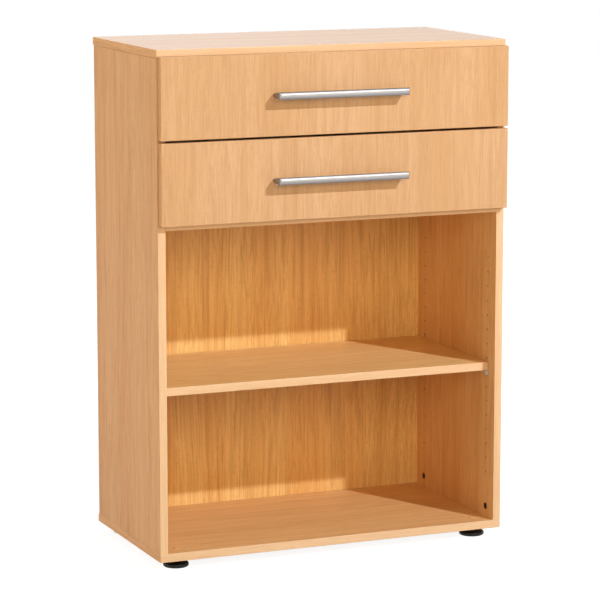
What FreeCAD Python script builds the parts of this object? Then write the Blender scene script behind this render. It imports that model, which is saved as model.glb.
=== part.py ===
"""Office shelving unit: a board carcass with two drawers above two open shelves.

Millimetres, +Z up, the drawers face -Y. The origin is on the floor, in the middle of the whole box.
"""

import FreeCAD, Part
import math
import os

V = FreeCAD.Vector
RIGHT = V(1, 0, 0)
BACK = V(0, 1, 0)
FORWARD = V(0, -1, 0)
UP = V(0, 0, 1)
FULL_TURN = 360.0
HEXAGON = 6
SIDES = (("left", -1), ("right", 1))

# Carcass boards
width = 800.0
carcass_depth = 400.0
carcass_height = 1080.0
foot_height = 20.0
board = 18.0
edging = 2.0
edge_round = 1.2
back_thickness = 8.0
back_reveal = 2.0
back_play = 0.5

# Rows of holes in the sides, and the adjustable shelf that they carry
pin_radius = 2.5
pin_depth = 12.0
pin_pitch = 32.0
pin_inset = 37.0
pin_first = 102.0
pin_margin = 100.0
shelf_hole = 7
shelf_setback = 30.0
shelf_play = 1.5
shelf_back_play = 2.0

# Shelf supports
support_rise = 6.0
support_drop = 13.0
support_width = 12.0
support_reach = 12.0
support_sheet = 1.6
support_rib = 2.0
peg_length = 10.0

# Cam locks, bolts and dowels of the board joints
cam_radius = 7.5
cam_depth = 12.5
cam_distance = 24.0
cam_inset = 37.0
cam_slot = 1.6
cam_slot_length = 9.0
cam_slot_depth = 2.2
cam_passage = 4.5
bolt_thread_radius = 2.4
bolt_thread = 11.0
bolt_collar = 1.5
bolt_neck_radius = 2.2
bolt_head_radius = 3.4
bolt_head = 5.0
dowel_radius = 3.9
dowel_in_face = 11.0
dowel_in_edge = 20.0
dowel_chamfer = 1.0
dowel_offset = 32.0
fit = 0.1
hole_extra = 0.8

# Screws through the back panel
back_screw_radius = 1.7
back_screw_length = 30.0
back_screw_head_radius = 3.6
back_screw_head = 2.4
back_screw_side_shares = (0.05, 0.28, 0.5, 0.78, 0.95)
back_screw_shelf_shares = (-0.5, 0.0, 0.5)

# Levelling feet, their sockets and the caps over the access holes
foot_radius = 27.5
foot_inset_x = 50.0
foot_inset_y = 41.0
foot_rim = 9.0
foot_chamfer = 1.0
foot_shoulder = 12.5
foot_shoulder_radius = 20.0
foot_hub_radius = 11.0
foot_floor = 2.8
foot_stop_gap = 0.4
spindle_radius = 5.0
spindle_collar_radius = 8.0
spindle_collar = 4.0
spindle_top_gap = 1.0
hex_flat = 5.0
hex_depth = 6.0
socket_flange = 3.0
socket_flange_radius = 18.0
socket_radius = 8.0
socket_depth = 14.0
access_radius = 5.0
cap_radius = 6.5
cap_height = 1.4
cap_chamfer = 0.7
cap_stem = 3.0

# Drawer fronts
front_thickness = 18.0
front_gap = 1.5
front_side_reveal = 2.0
front_top_reveal = 13.5
front_height = 172.75
front_overlap = 7.0
front_spacing = 5.0

# Bar handles
handle_length = 298.0
handle_reach = 36.0
handle_height = 16.0
handle_foot_height = 6.0
handle_post = 10.0
handle_bar = 12.0
handle_nose = 5.0
handle_inner_round = 6.0
handle_end_round = 1.5
handle_screw_radius = 2.0
handle_screw_grip = 9.0
pan_head_radius = 4.0
pan_head = 2.4
pan_head_rim = 1.2

# Drawer boxes
drawer_side = 12.0
drawer_side_drop = 31.85
drawer_back = 12.0
drawer_bottom = 4.0
groove_rise = 10.0
groove_depth = 6.0
groove_play = 0.2
drawer_cam_depth = 9.0
drawer_dowel_radius = 2.9
drawer_dowel_in_face = 9.0
drawer_dowel_shares = (0.3, 0.85)
drawer_cam_share = 0.58

# Roller runners
runner_gap = 12.5
runner_sheet = 1.2
runner_channel = 21.0
runner_flange = 10.4
runner_setback = 2.0
runner_back_gap = 40.0
runner_overlap = 80.0
runner_rise = 17.0
runner_entry = 40.0
runner_screw_shares = (0.1, 0.45, 0.9)
runner_screw_height = 4.5
runner_screw_radius = 2.4
runner_screw_length = 11.0
runner_screw_head_radius = 3.0
runner_screw_head = 1.4
rail_front_gap = 1.0
rail_flange = 9.5
rail_flange_end_gap = 9.0
rail_under_gap = 1.5
rail_top_clear = 0.5
rail_screw_shares = (0.15, 0.5, 0.85)
rail_screw_radius = 1.7
rail_screw_length = 11.0
rail_screw_head_radius = 3.2
rail_screw_head = 1.0
roller_clear = 0.3
roller_width = 5.8
roller_chamfer = 0.8
roller_end = 12.0
roller_side_gap = 0.2
axle_radius = 2.5
axle_fit = 0.08
axle_head_radius = 3.4
axle_head = 0.6
axle_collar_radius = 4.0
stop_height = 3.0
stop_length = 9.0
stop_gap = 0.5

# Working allowances: how far cuts run past a face, and when two places count as one
overrun = 1.0
closeness = 0.0001

# Places worked out from the sizes above
half_width = width / 2
inner_x = half_width - board
total_depth = handle_reach + front_thickness + front_gap + carcass_depth
carcass_back = total_depth / 2
carcass_front = carcass_back - carcass_depth
side_back = carcass_back - back_thickness
front_rear = carcass_front - front_gap
front_face = front_rear - front_thickness
bottom_top = foot_height + board
top_high = foot_height + carcass_height
top_low = top_high - board
upper_front_low = top_high - front_top_reveal - front_height
lower_front_low = upper_front_low - front_spacing - front_height
fixed_top = lower_front_low + front_overlap
fixed_low = fixed_top - board
fixed_middle = fixed_low + board / 2
lower_opening = fixed_low - bottom_top
shelf_low = bottom_top + pin_first + shelf_hole * pin_pitch + support_rise
pin_rows = (carcass_front + pin_inset, side_back - pin_inset)
pin_count = int((lower_opening - pin_first - pin_margin) / pin_pitch) + 1
cam_rows = (carcass_front + cam_inset, side_back - cam_inset)
dowel_rows = (carcass_front + cam_inset + dowel_offset, side_back - cam_inset - dowel_offset)
foot_x = half_width - foot_inset_x
foot_rows = (("front", carcass_front + foot_inset_y), ("rear", carcass_back - foot_inset_y))
front_half = half_width - front_side_reveal
box_half = inner_x - runner_gap
box_inner = box_half - drawer_side
runner_length = side_back - runner_back_gap - carcass_front - runner_setback
travel = runner_length - runner_overlap
box_rear = front_rear + runner_length
cabinet_roller_radius = (runner_channel - rail_top_clear - runner_sheet) / 2 - roller_clear
drawer_roller_radius = runner_channel / 2 - roller_clear
runner_front = carcass_front + runner_setback
runner_rear = runner_front + runner_length
rail_front = front_rear + rail_front_gap
rail_rear = rail_front + runner_length
cabinet_axle_y = runner_front + roller_end
drawer_axle_y = rail_rear - roller_end
roller_root = (runner_gap - roller_width) / 2
roller_tip = roller_root + roller_width


def box(x0, x1, y0, y1, z0, z1):
    """A block between two corners."""
    return Part.makeBox(x1 - x0, y1 - y0, z1 - z0, V(x0, y0, z0))


def rod(start, axis, radius, length):
    """A round bar, also used as the cutter for a round hole."""
    return Part.makeCylinder(radius, length, start, axis)


def turned(start, axis, outline):
    """A turned piece: the outline lists (distance along the axis, radius)."""
    points = [V(radius, 0, along) for along, radius in outline]
    face = Part.Face(Part.makePolygon(points + points[:1]))
    solid = face.revolve(V(), UP, FULL_TURN)
    solid.Placement = FreeCAD.Placement(start, FreeCAD.Rotation(UP, axis))
    return solid


def bent_sheet(outline, y0, y1):
    """A section in X and Z, drawn out along Y."""
    points = [V(x, y0, z) for x, z in outline]
    face = Part.Face(Part.makePolygon(points + points[:1]))
    return face.extrude(BACK * (y1 - y0))


def mirrored(shape):
    """The same piece on the other side of the unit."""
    return shape.mirror(V(), RIGHT)


def on_plane(edge, axis, place):
    return all(abs(vertex.Point.dot(axis) - place) < closeness for vertex in edge.Vertexes)


def runs_along(edge, axis):
    return abs(edge.tangentAt(edge.FirstParameter).dot(axis)) > 1 - closeness


def edging_strip(x0, x1, y0, z0, z1, along):
    """A straight front edging with its two long outer arrises rounded."""
    strip = box(x0, x1, y0, y0 + edging, z0, z1)
    arrises = [edge for edge in strip.Edges if on_plane(edge, BACK, y0) and runs_along(edge, along)]
    return strip.makeFillet(edge_round, arrises)


def cam_joint(joint, toward, inward, lock_depth, axis_depth):
    """Cam lock, bolt, and the holes for them in the edge board and the face board.

    The bolt stands in the face board at joint and points toward the lock, which sits in the edge board.
    """
    local_lock = rod(V(), UP, cam_radius - fit, lock_depth)
    passage = rod(V(-cam_passage, 0, axis_depth), RIGHT, bolt_head_radius + fit, cam_passage + cam_radius)
    slot_half = cam_slot / 2
    slot_end = cam_slot_length / 2
    slot = box(-slot_half, slot_half, -slot_end, slot_end, 0, cam_slot_depth)
    cross_slot = box(-slot_end, slot_end, -slot_half, slot_half, 0, cam_slot_depth)
    lock = local_lock.cut([passage, slot, cross_slot])
    centre = joint + toward * cam_distance - inward * axis_depth
    turn = FreeCAD.Rotation(toward * -1, inward.cross(toward * -1), inward, "ZXY")
    lock.Placement = FreeCAD.Placement(centre, turn)
    head_start = cam_distance - bolt_head / 2
    head_end = cam_distance + bolt_head / 2
    bolt = turned(joint, toward, [
        (-bolt_thread, 0), (-bolt_thread, bolt_thread_radius), (0, bolt_thread_radius),
        (0, bolt_head_radius), (bolt_collar, bolt_head_radius), (bolt_collar, bolt_neck_radius),
        (head_start, bolt_neck_radius), (head_start, bolt_head_radius),
        (head_end, bolt_head_radius), (head_end, 0)])
    edge_cuts = [rod(centre, inward, cam_radius, lock_depth + hole_extra),
                 rod(joint, toward, bolt_head_radius + fit, head_end + hole_extra)]
    face_cuts = [rod(joint, toward * -1, bolt_thread_radius + fit, bolt_thread + hole_extra)]
    return lock, bolt, edge_cuts, face_cuts


def dowel_joint(joint, toward, radius, in_face, in_edge):
    """A dowel and the holes for it in the edge board and the face board."""
    dowel = turned(joint, toward, [
        (-in_face, 0), (-in_face, radius - dowel_chamfer), (dowel_chamfer - in_face, radius),
        (in_edge - dowel_chamfer, radius), (in_edge, radius - dowel_chamfer), (in_edge, 0)])
    edge_cuts = [rod(joint, toward, radius + fit, in_edge + hole_extra)]
    face_cuts = [rod(joint, toward * -1, radius + fit, in_face + hole_extra)]
    return dowel, edge_cuts, face_cuts


def headed_screw(seat, into, radius, length, head_radius, head, rim):
    """A screw whose head stands on the seat, with a rim that its crown slopes up from."""
    return turned(seat, into, [
        (-head, 0), (-head, head_radius - rim), (rim - head, head_radius), (0, head_radius),
        (0, radius), (length - radius, radius), (length, 0)])


pieces = {}
cuts = {name: [] for name in ("top_panel", "bottom_panel", "left_side_panel", "right_side_panel",
                              "fixed_shelf", "back_panel")}

# Board joints of the carcass: cam locks and dowels
cam_fittings = []
carcass_dowels = []


def join_carcass(edge_board, face_board, joints, dowel_places, toward, inward):
    """Cam locks and dowels between one board's edge and another board's face."""
    for joint in joints:
        lock, bolt, edge_cuts, face_cuts = cam_joint(joint, toward, inward, cam_depth, board / 2)
        cam_fittings.extend([lock, bolt])
        cuts[edge_board].extend(edge_cuts)
        cuts[face_board].extend(face_cuts)
    for joint in dowel_places:
        dowel, edge_cuts, face_cuts = dowel_joint(
            joint, toward, dowel_radius, dowel_in_face, dowel_in_edge)
        carcass_dowels.append(dowel)
        cuts[edge_board].extend(edge_cuts)
        cuts[face_board].extend(face_cuts)


for side, sign in SIDES:
    side_board = side + "_side_panel"
    outward = RIGHT * sign
    middle_x = sign * (half_width - board / 2)
    for face_board, z, toward in (("bottom_panel", bottom_top, UP), ("top_panel", top_low, UP * -1)):
        join_carcass(side_board, face_board, [V(middle_x, y, z) for y in cam_rows],
                     [V(middle_x, y, z) for y in dowel_rows], toward, outward)
    join_carcass("fixed_shelf", side_board, [V(sign * inner_x, y, fixed_middle) for y in cam_rows],
                 [V(sign * inner_x, y, fixed_middle) for y in dowel_rows], outward * -1, UP)
    for y in pin_rows:
        for step in range(pin_count):
            mouth = V(sign * inner_x, y, bottom_top + pin_first + step * pin_pitch)
            cuts[side_board].append(rod(mouth, outward, pin_radius, pin_depth))

pieces["carcass_cam_fittings"] = Part.makeCompound(cam_fittings)
pieces["carcass_dowels"] = Part.makeCompound(carcass_dowels)

# Screws that hold the back panel to the sides and the fixed shelf
back_height = top_low - bottom_top
screw_places = [V(sign * (half_width - board / 2), carcass_back, bottom_top + share * back_height)
                for side, sign in SIDES for share in back_screw_side_shares]
screw_places += [V(share * inner_x, carcass_back, fixed_middle) for share in back_screw_shelf_shares]


def countersunk(place, head_radius, shank_radius, length):
    return turned(place, FORWARD, [
        (0, 0), (0, head_radius), (back_screw_head, shank_radius),
        (length - shank_radius, shank_radius), (length, 0)])


back_screws = []
for place in screw_places:
    back_screws.append(countersunk(place, back_screw_head_radius, back_screw_radius, back_screw_length))
    hole = countersunk(place, back_screw_head_radius + fit, back_screw_radius + fit,
                       back_screw_length + hole_extra)
    cuts["back_panel"].append(hole)
    if place.z == fixed_middle:
        cuts["fixed_shelf"].append(hole)
    elif place.x < 0:
        cuts["left_side_panel"].append(hole)
    else:
        cuts["right_side_panel"].append(hole)
pieces["back_panel_screws"] = Part.makeCompound(back_screws)

# Levelling feet: a plate that turns on a spindle, and a threaded socket in the bottom panel
socket_low = foot_height - socket_flange
socket_high = foot_height + socket_depth
hub_top = socket_low - foot_stop_gap
collar_low = foot_floor + fit
collar_high = collar_low + spindle_collar
spindle_top = socket_high - spindle_top_gap
foot_sockets = []
foot_caps = []
for row, y in foot_rows:
    for side, sign in SIDES:
        name = row + "_" + side + "_foot"
        floor_point = V(sign * foot_x, y, 0)
        pieces[name + "_plate"] = turned(floor_point, UP, [
            (0, 0), (0, foot_radius - foot_chamfer), (foot_chamfer, foot_radius), (foot_rim, foot_radius),
            (foot_shoulder, foot_shoulder_radius), (hub_top, foot_hub_radius),
            (hub_top, spindle_radius + fit), (collar_high + fit, spindle_radius + fit),
            (collar_high + fit, spindle_collar_radius + fit), (foot_floor, spindle_collar_radius + fit),
            (foot_floor, 0)])
        spindle = turned(floor_point, UP, [
            (collar_low, 0), (collar_low, spindle_collar_radius), (collar_high, spindle_collar_radius),
            (collar_high, spindle_radius), (spindle_top, spindle_radius), (spindle_top, 0)])
        hex_radius = hex_flat / 2 / math.cos(math.pi / HEXAGON)
        hex_points = [floor_point + V(hex_radius * math.cos(2 * math.pi * corner / HEXAGON),
                                      hex_radius * math.sin(2 * math.pi * corner / HEXAGON),
                                      spindle_top - hex_depth) for corner in range(HEXAGON)]
        hex_face = Part.Face(Part.makePolygon(hex_points + hex_points[:1]))
        pieces[name + "_spindle"] = spindle.cut(hex_face.extrude(UP * (hex_depth + overrun)))
        foot_sockets.append(turned(floor_point, UP, [
            (socket_low, spindle_radius + fit), (socket_low, socket_flange_radius),
            (foot_height, socket_flange_radius), (foot_height, socket_radius),
            (socket_high, socket_radius), (socket_high, spindle_radius + fit)]))
        foot_caps.append(turned(floor_point + UP * bottom_top, UP, [
            (-cap_stem, 0), (-cap_stem, access_radius - fit), (0, access_radius - fit), (0, cap_radius),
            (cap_height - cap_chamfer, cap_radius), (cap_height, cap_radius - cap_chamfer), (cap_height, 0)]))
        under = floor_point + UP * foot_height
        cuts["bottom_panel"].append(rod(under, UP, socket_radius + fit, socket_depth + fit))
        cuts["bottom_panel"].append(rod(under, UP, access_radius, board))
pieces["foot_sockets"] = Part.makeCompound(foot_sockets)
pieces["foot_hole_caps"] = Part.makeCompound(foot_caps)

# Runner screws, and their holes in the sides
runner_screws = []
for front_low in (lower_front_low, upper_front_low):
    for side, sign in SIDES:
        for share in runner_screw_shares:
            seat = V(sign * (inner_x - runner_sheet), runner_front + share * runner_length,
                     front_low + runner_rise + runner_sheet + runner_screw_height)
            runner_screws.append(headed_screw(
                seat, RIGHT * sign, runner_screw_radius, runner_screw_length,
                runner_screw_head_radius, runner_screw_head, runner_screw_head / 2))
            cuts[side + "_side_panel"].append(
                rod(seat, RIGHT * sign, runner_screw_radius + fit, runner_screw_length + hole_extra))
pieces["runner_screws"] = Part.makeCompound(runner_screws)

# Top and bottom panels run the full width, with edging round the front and both ends
for name, z0, z1 in (("top_panel", top_low, top_high), ("bottom_panel", foot_height, bottom_top)):
    core = box(edging - half_width, half_width - edging, carcass_front + edging, carcass_back, z0, z1)
    outer = box(-half_width, half_width, carcass_front, carcass_back, z0, z1)
    arrises = [edge for edge in outer.Edges if not on_plane(edge, BACK, carcass_back)]
    pieces[name] = core.cut(cuts[name])
    pieces[name + "_edging"] = outer.makeFillet(edge_round, arrises).cut(core)

# Sides stand between them
for side, sign in SIDES:
    x0, x1 = sorted((sign * inner_x, sign * half_width))
    panel = box(x0, x1, carcass_front + edging, side_back, bottom_top, top_low)
    pieces[side + "_side_panel"] = panel.cut(cuts[side + "_side_panel"])
    pieces[side + "_side_edging"] = edging_strip(x0, x1, carcass_front, bottom_top, top_low, UP)

# Fixed shelf under the drawers
fixed = box(-inner_x, inner_x, carcass_front + edging, side_back, fixed_low, fixed_top)
pieces["fixed_shelf"] = fixed.cut(cuts["fixed_shelf"])
pieces["fixed_shelf_edging"] = edging_strip(-inner_x, inner_x, carcass_front, fixed_low, fixed_top, RIGHT)

# Back panel lies on the back edges of the sides, under the top
back_half = half_width - back_reveal
back = box(-back_half, back_half, side_back, carcass_back, bottom_top + back_play, top_low - back_play)
pieces["back_panel"] = back.cut(cuts["back_panel"])

# Adjustable shelf on its four supports
shelf_half = inner_x - shelf_play
shelf_front = carcass_front + shelf_setback
shelf_high = shelf_low + board
pieces["adjustable_shelf"] = box(-shelf_half, shelf_half, shelf_front + edging, side_back - shelf_back_play,
                                 shelf_low, shelf_high)
pieces["adjustable_shelf_edging"] = edging_strip(-shelf_half, shelf_half, shelf_front,
                                                 shelf_low, shelf_high, RIGHT)

supports = []
for y in pin_rows:
    wall_plate = box(inner_x - support_sheet, inner_x, y - support_width / 2, y + support_width / 2,
                     shelf_low - support_drop, shelf_low)
    seat_plate = box(inner_x - support_reach, inner_x, y - support_width / 2, y + support_width / 2,
                     shelf_low - support_sheet, shelf_low)
    rib = bent_sheet([(inner_x - support_sheet, shelf_low - support_sheet),
                      (inner_x - support_reach, shelf_low - support_sheet),
                      (inner_x - support_sheet, shelf_low - support_drop)],
                     y - support_rib / 2, y + support_rib / 2)
    peg = rod(V(inner_x, y, shelf_low - support_rise), RIGHT, pin_radius - fit, peg_length)
    support = wall_plate.fuse([seat_plate, rib, peg]).removeSplitter()
    supports.extend([support, mirrored(support)])
pieces["shelf_supports"] = Part.makeCompound(supports)


def bar_handle(middle_z):
    """A straight bar with a rounded nose, on two posts that grow thinner towards the drawer.

    The side outline, drawn out along X, is trimmed by the plan outline, drawn out along Z.
    """
    half_length = handle_length / 2
    nose_y = front_face - handle_reach
    half_foot = handle_foot_height / 2
    half_bar = handle_height / 2
    foot_low = V(-half_length, front_face, middle_z - half_foot)
    bar_low = V(-half_length, nose_y + handle_nose, middle_z - half_bar)
    nose = V(-half_length, nose_y, middle_z)
    bar_high = V(-half_length, nose_y + handle_nose, middle_z + half_bar)
    foot_high = V(-half_length, front_face, middle_z + half_foot)
    side_outline = Part.Wire([Part.LineSegment(foot_low, bar_low).toShape(),
                              Part.Arc(bar_low, nose, bar_high).toShape(),
                              Part.LineSegment(bar_high, foot_high).toShape(),
                              Part.LineSegment(foot_high, foot_low).toShape()])
    profile = Part.Face(side_outline).extrude(RIGHT * handle_length)
    post_x = half_length - handle_post
    bar_rear = nose_y + handle_bar
    plan = box(-half_length, half_length, nose_y, front_face, middle_z - half_bar, middle_z + half_bar)
    plan = plan.cut(box(-post_x, post_x, bar_rear, front_face, middle_z - half_bar, middle_z + half_bar))
    outer_corners = [edge for edge in plan.Edges if runs_along(edge, UP) and on_plane(edge, BACK, nose_y)]
    plan = plan.makeFillet(handle_end_round, outer_corners)
    inner_corners = [edge for edge in plan.Edges if runs_along(edge, UP) and on_plane(edge, BACK, bar_rear)]
    plan = plan.makeFillet(handle_inner_round, inner_corners)
    holes = [rod(V(sign * (half_length - handle_post / 2), front_face, middle_z), FORWARD,
                 handle_screw_radius + fit, handle_screw_grip + hole_extra) for side, sign in SIDES]
    return profile.common(plan).cut(holes)


def cabinet_runner(channel):
    """Right-hand cabinet runner: a C section on the side panel, with the front roller's axle and the stop."""
    web = inner_x - runner_sheet
    lip = inner_x - runner_flange
    roof = channel + runner_channel
    section = bent_sheet([(inner_x, channel - runner_sheet), (inner_x, roof + runner_sheet),
                          (lip, roof + runner_sheet), (lip, roof), (web, roof), (web, channel),
                          (lip, channel), (lip, channel - runner_sheet)], runner_front, runner_rear)
    bends = [edge for edge in section.Edges if on_plane(edge, RIGHT, inner_x) and runs_along(edge, BACK)]
    section = section.makeFillet(runner_sheet, bends)
    entry = box(lip - overrun, web, runner_front - overrun, runner_front + runner_entry,
                roof, roof + runner_sheet + overrun)
    axle_z = channel + roller_clear + cabinet_roller_radius
    collar_end = roller_root - roller_side_gap
    head_start = roller_tip + roller_side_gap
    axle = turned(V(inner_x, cabinet_axle_y, axle_z), RIGHT * -1, [
        (runner_sheet / 2, 0), (runner_sheet / 2, axle_collar_radius),
        (collar_end, axle_collar_radius), (collar_end, axle_radius),
        (head_start, axle_radius), (head_start, axle_head_radius),
        (head_start + axle_head, axle_head_radius), (head_start + axle_head, 0)])
    stop_near = drawer_axle_y - travel - stop_gap - math.sqrt(
        drawer_roller_radius ** 2 - (drawer_roller_radius + roller_clear - stop_height) ** 2)
    ramp = Part.Face(Part.makePolygon([
        V(web, stop_near, channel), V(web, stop_near, channel + stop_height),
        V(web, stop_near - stop_length, channel), V(web, stop_near, channel)]))
    ramp = ramp.extrude(RIGHT * (lip - web))
    runner = section.cut(entry).fuse([axle, ramp]).removeSplitter()
    screw_z = channel + runner_screw_height
    screw_holes = [rod(V(inner_x + overrun, runner_front + share * runner_length, screw_z), RIGHT * -1,
                       runner_screw_radius + fit, runner_sheet + 2 * overrun)
                   for share in runner_screw_shares]
    return runner.cut(screw_holes)


def drawer_rail(channel):
    """Right-hand drawer rail: a Z section under the drawer side, with the rear roller's axle."""
    web = box_half + runner_sheet
    tip = box_half + rail_flange
    flange_high = channel + runner_channel - rail_top_clear
    flange_low = flange_high - runner_sheet
    under_low = channel + rail_under_gap
    under_high = under_low + runner_sheet
    section = bent_sheet([(tip, flange_high), (box_half, flange_high), (box_half, under_high),
                          (box_inner, under_high), (box_inner, under_low), (web, under_low),
                          (web, flange_low), (tip, flange_low)], rail_front, rail_rear)
    flange_end = drawer_axle_y - drawer_roller_radius - rail_flange_end_gap
    notch = box(web, tip + overrun, flange_end, rail_rear + overrun, under_low, flange_high + overrun)
    axle_z = channel + runner_channel / 2
    collar_end = runner_gap - roller_tip - roller_side_gap
    head_start = runner_gap - roller_root + roller_side_gap
    axle = turned(V(box_half, drawer_axle_y, axle_z), RIGHT, [
        (runner_sheet / 2, 0), (runner_sheet / 2, axle_collar_radius),
        (collar_end, axle_collar_radius), (collar_end, axle_radius),
        (head_start, axle_radius), (head_start, axle_head_radius),
        (head_start + axle_head, axle_head_radius), (head_start + axle_head, 0)])
    screw_x = box_half - drawer_side / 2
    screw_holes = [rod(V(screw_x, rail_front + share * runner_length, under_low - overrun), UP,
                       rail_screw_radius + fit, runner_sheet + 2 * overrun) for share in rail_screw_shares]
    return section.cut(notch).fuse(axle).removeSplitter().cut(screw_holes)


def roller(centre_y, centre_z, radius):
    """Right-hand roller with a bored hub and broken edges."""
    bore = axle_radius + axle_fit
    return turned(V(inner_x - roller_root, centre_y, centre_z), RIGHT * -1, [
        (0, bore), (0, radius - roller_chamfer), (roller_chamfer, radius),
        (roller_width - roller_chamfer, radius), (roller_width, radius - roller_chamfer),
        (roller_width, bore)])


def drawer(name, front_low):
    """One drawer with its handle, box, rails and rollers, and the cabinet runners that carry it."""
    front_high = front_low + front_height
    channel = front_low + runner_rise + runner_sheet
    box_low = channel + rail_under_gap + runner_sheet
    box_high = front_high - drawer_side_drop
    box_height = box_high - box_low
    front_middle = front_low + front_height / 2
    groove_low = box_low + groove_rise
    groove_high = groove_low + drawer_bottom + groove_play
    groove_half = box_inner + groove_depth
    front_cuts = [box(-groove_half, groove_half, front_rear - groove_depth, front_rear + overrun,
                      groove_low, groove_high)]
    side_cuts = {"left": [], "right": []}
    back_cuts = []
    fittings = []
    dowels = []
    for side, sign in SIDES:
        outward = RIGHT * sign
        middle_x = sign * (box_half - drawer_side / 2)
        joint = V(middle_x, front_rear, box_low + drawer_cam_share * box_height)
        lock, bolt, edge_cuts, face_cuts = cam_joint(joint, BACK, outward, drawer_cam_depth, drawer_side / 2)
        fittings.extend([lock, bolt])
        side_cuts[side].extend(edge_cuts)
        front_cuts.extend(face_cuts)
        for share in drawer_dowel_shares:
            z = box_low + share * box_height
            dowel, edge_cuts, face_cuts = dowel_joint(
                V(middle_x, front_rear, z), BACK, drawer_dowel_radius, dowel_in_face, dowel_in_edge)
            dowels.append(dowel)
            side_cuts[side].extend(edge_cuts)
            front_cuts.extend(face_cuts)
            dowel, edge_cuts, face_cuts = dowel_joint(
                V(sign * box_inner, box_rear - drawer_back / 2, z), outward * -1,
                drawer_dowel_radius, drawer_dowel_in_face, dowel_in_edge)
            dowels.append(dowel)
            back_cuts.extend(edge_cuts)
            side_cuts[side].extend(face_cuts)
        x0, x1 = sorted((sign * box_inner, sign * box_half))
        g0, g1 = sorted((sign * (box_inner - overrun), sign * groove_half))
        side_cuts[side].append(box(g0, g1, front_rear - overrun, box_rear + overrun, groove_low, groove_high))
        for share in rail_screw_shares:
            seat = V(middle_x, rail_front + share * runner_length, box_low)
            side_cuts[side].append(rod(seat, UP, rail_screw_radius + fit, rail_screw_length + hole_extra))
        panel = box(x0, x1, front_rear, box_rear, box_low, box_high)
        pieces[name + "_drawer_" + side + "_side"] = panel.cut(side_cuts[side])

    core = box(edging - front_half, front_half - edging, front_face, front_rear,
               front_low + edging, front_high - edging)
    outer = box(-front_half, front_half, front_face, front_rear, front_low, front_high)
    handle_hole_x = handle_length / 2 - handle_post / 2
    screws = []
    for side, sign in SIDES:
        seat = V(sign * handle_hole_x, front_rear, front_middle)
        front_cuts.append(rod(seat, FORWARD, handle_screw_radius + fit, front_thickness))
        screws.append(headed_screw(seat, FORWARD, handle_screw_radius, front_thickness + handle_screw_grip,
                                   pan_head_radius, pan_head, pan_head_rim))
        for share in rail_screw_shares:
            under = V(sign * (box_half - drawer_side / 2), rail_front + share * runner_length,
                      box_low - runner_sheet)
            screws.append(headed_screw(under, UP, rail_screw_radius, rail_screw_length,
                                       rail_screw_head_radius, rail_screw_head, rail_screw_head / 2))
    pieces[name + "_drawer_front"] = core.cut(front_cuts)
    pieces[name + "_drawer_front_edging"] = outer.makeFillet(edge_round, outer.Edges).cut(core)
    pieces[name + "_drawer_screws"] = Part.makeCompound(screws)
    pieces[name + "_drawer_handle"] = bar_handle(front_middle)
    bottom_half = groove_half - groove_play
    pieces[name + "_drawer_bottom"] = box(-bottom_half, bottom_half, front_rear - groove_depth + groove_play,
                                          box_rear, groove_low, groove_low + drawer_bottom)
    rear = box(-box_inner, box_inner, box_rear - drawer_back, box_rear, groove_low + drawer_bottom, box_high)
    pieces[name + "_drawer_back"] = rear.cut(back_cuts)
    pieces[name + "_drawer_fittings"] = Part.makeCompound(fittings)
    pieces[name + "_drawer_dowels"] = Part.makeCompound(dowels)

    runner = cabinet_runner(channel)
    rail = drawer_rail(channel)
    cabinet_axle_z = channel + roller_clear + cabinet_roller_radius
    cabinet_roller = roller(cabinet_axle_y, cabinet_axle_z, cabinet_roller_radius)
    rear_roller = roller(drawer_axle_y, channel + runner_channel / 2, drawer_roller_radius)
    pieces[name + "_right_cabinet_runner"] = runner
    pieces[name + "_left_cabinet_runner"] = mirrored(runner)
    pieces[name + "_drawer_right_rail"] = rail
    pieces[name + "_drawer_left_rail"] = mirrored(rail)
    pieces[name + "_cabinet_rollers"] = Part.makeCompound([cabinet_roller, mirrored(cabinet_roller)])
    pieces[name + "_drawer_rollers"] = Part.makeCompound([rear_roller, mirrored(rear_roller)])


drawer("lower", lower_front_low)
drawer("upper", upper_front_low)

os.makedirs("parts", exist_ok=True)
for name, shape in pieces.items():
    shape.exportStep("parts/" + name + ".step")
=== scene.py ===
import math

import bmesh
import bpy
from mathutils import Matrix, Vector


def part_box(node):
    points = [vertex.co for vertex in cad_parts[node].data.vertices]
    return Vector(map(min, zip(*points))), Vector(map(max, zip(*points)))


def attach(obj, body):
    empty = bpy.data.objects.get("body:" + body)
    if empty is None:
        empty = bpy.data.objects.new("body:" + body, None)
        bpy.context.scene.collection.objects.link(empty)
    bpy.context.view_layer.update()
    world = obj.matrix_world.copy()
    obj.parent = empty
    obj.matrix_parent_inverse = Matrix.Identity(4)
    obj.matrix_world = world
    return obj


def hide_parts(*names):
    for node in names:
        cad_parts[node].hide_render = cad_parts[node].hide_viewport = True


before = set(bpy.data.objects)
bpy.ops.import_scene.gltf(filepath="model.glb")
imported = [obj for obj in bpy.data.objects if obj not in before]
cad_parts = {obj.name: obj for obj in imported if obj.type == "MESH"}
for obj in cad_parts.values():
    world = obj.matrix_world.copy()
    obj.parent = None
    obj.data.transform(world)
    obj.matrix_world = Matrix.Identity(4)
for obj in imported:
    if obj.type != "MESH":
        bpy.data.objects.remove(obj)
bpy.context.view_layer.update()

scene = bpy.context.scene

# Bottom panel, fixed shelf and top panel
# Chipboard 18 mm thick, faced on both sides with a printed beech decor, its grain from side to side.
# The bare chips show only where a board is sawn or drilled. Cam locks and dowels hold the boards together.
X_AXIS = Vector((1, 0, 0))
Y_AXIS = Vector((0, 1, 0))
Z_AXIS = Vector((0, 0, 1))
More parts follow.
